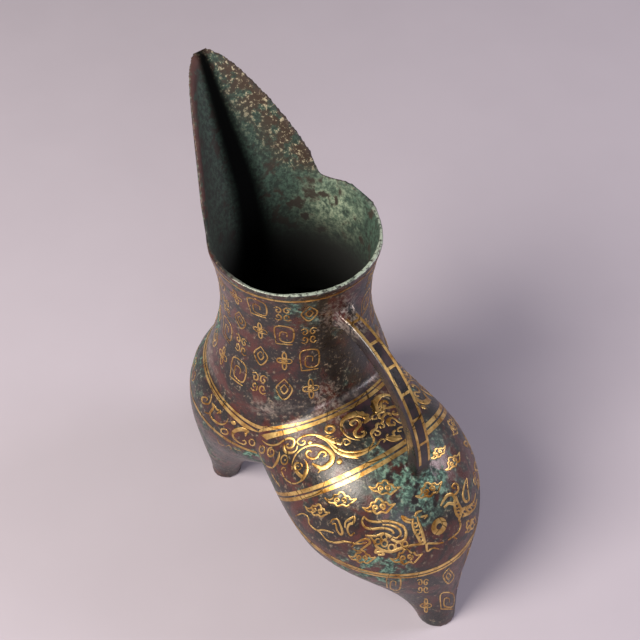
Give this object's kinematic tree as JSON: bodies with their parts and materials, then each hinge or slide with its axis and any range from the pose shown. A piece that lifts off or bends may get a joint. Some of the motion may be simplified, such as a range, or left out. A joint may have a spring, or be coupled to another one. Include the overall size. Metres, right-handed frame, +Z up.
{
  "type": "bronze tripod ewer",
  "caption": "Bronze tripod pouring vessel with a tall beak spout, a waisted neck, hollow pouch legs, a strap handle and inlaid gold lines.",
  "frame": {"origin": "on the floor, below the middle of the overall length", "axes": "+X toward the handle and rear leg, -X toward the spout, +Z up"},
  "size_m": [0.2184, 0.1196, 0.272],
  "materials": {
    "bronze": "dark patinated cast bronze",
    "gold": "burnished gold inlay"
  },
  "bodies": {
    "root": {"neck": "bronze", "spout": "bronze", "rear_leg": "bronze", "rear_leg_foot": "bronze", "left_leg": "bronze", "right_leg": "bronze", "handle": "bronze", "rim_line": "gold", "rear_collar_upper_line": "gold", "rear_collar_lower_line": "gold", "rear_band_upper_line": "gold", "rear_band_lower_line": "gold", "rear_hem_line": "gold", "rear_hem_fine_line": "gold", "gold_disc": "gold", "left_collar_upper_line": "gold", "left_collar_lower_line": "gold", "left_hem_line": "gold", "right_collar_upper_line": "gold", "right_collar_lower_line": "gold", "right_hem_line": "gold", "handle_left_rail": "gold", "handle_right_rail": "gold", "handle_rungs": "gold"}
  },
  "joints": []
}
